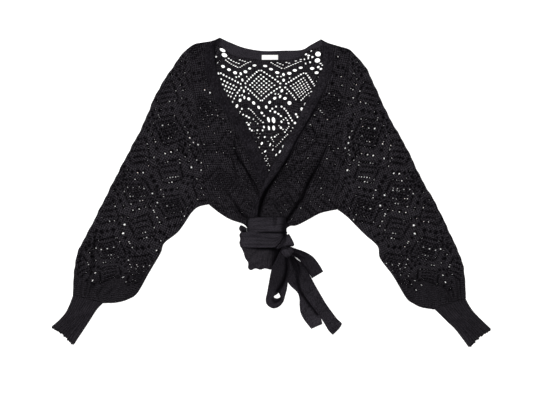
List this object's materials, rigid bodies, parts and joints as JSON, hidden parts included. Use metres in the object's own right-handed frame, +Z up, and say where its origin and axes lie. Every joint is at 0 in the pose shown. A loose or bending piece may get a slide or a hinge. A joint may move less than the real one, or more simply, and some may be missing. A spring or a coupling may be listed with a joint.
{
  "type": "crochet wrap cardigan laid flat",
  "caption": "Cropped openwork lace wrap cardigan laid flat, wide sleeves with ribbed cuffs, deep V neck, ties wound round the gathered waist and knotted.",
  "frame": {"origin": "on the floor plane under the middle of the laid-out garment's bounding box", "axes": "+X across the garment from the sleeve at its left in plan to the one at its right, +Y from the waist to the neck, +Z up from the floor"},
  "size_m": [1.054, 0.7398, 0.028],
  "materials": {
    "lace_knit": "matt black cotton blend yarn in openwork stitch",
    "fine_knit": "matt black fine rib knit",
    "ribbed_knit": "matt black rib knit",
    "label_tape": "blank white woven tape with a soft satin sheen"
  },
  "bodies": {
    "root": {"back_panel": "lace_knit", "front_left": "lace_knit", "front_right": "lace_knit", "sleeve_left_under": "lace_knit", "sleeve_left_over": "lace_knit", "sleeve_right_under": "lace_knit", "sleeve_right_over": "lace_knit", "cuff_left": "ribbed_knit", "cuff_right": "ribbed_knit", "neck_band": "fine_knit", "band_left": "fine_knit", "band_right": "fine_knit", "label": "label_tape", "waist_gather": "lace_knit", "wrap_upper": "fine_knit", "wrap_lower": "fine_knit", "wrap_end": "fine_knit", "side_fold": "fine_knit", "hem_ruffle": "ribbed_knit", "knot": "fine_knit", "tie_loop": "fine_knit", "tail_short": "fine_knit", "tail_middle": "fine_knit", "tail_long": "fine_knit"}
  },
  "joints": []
}
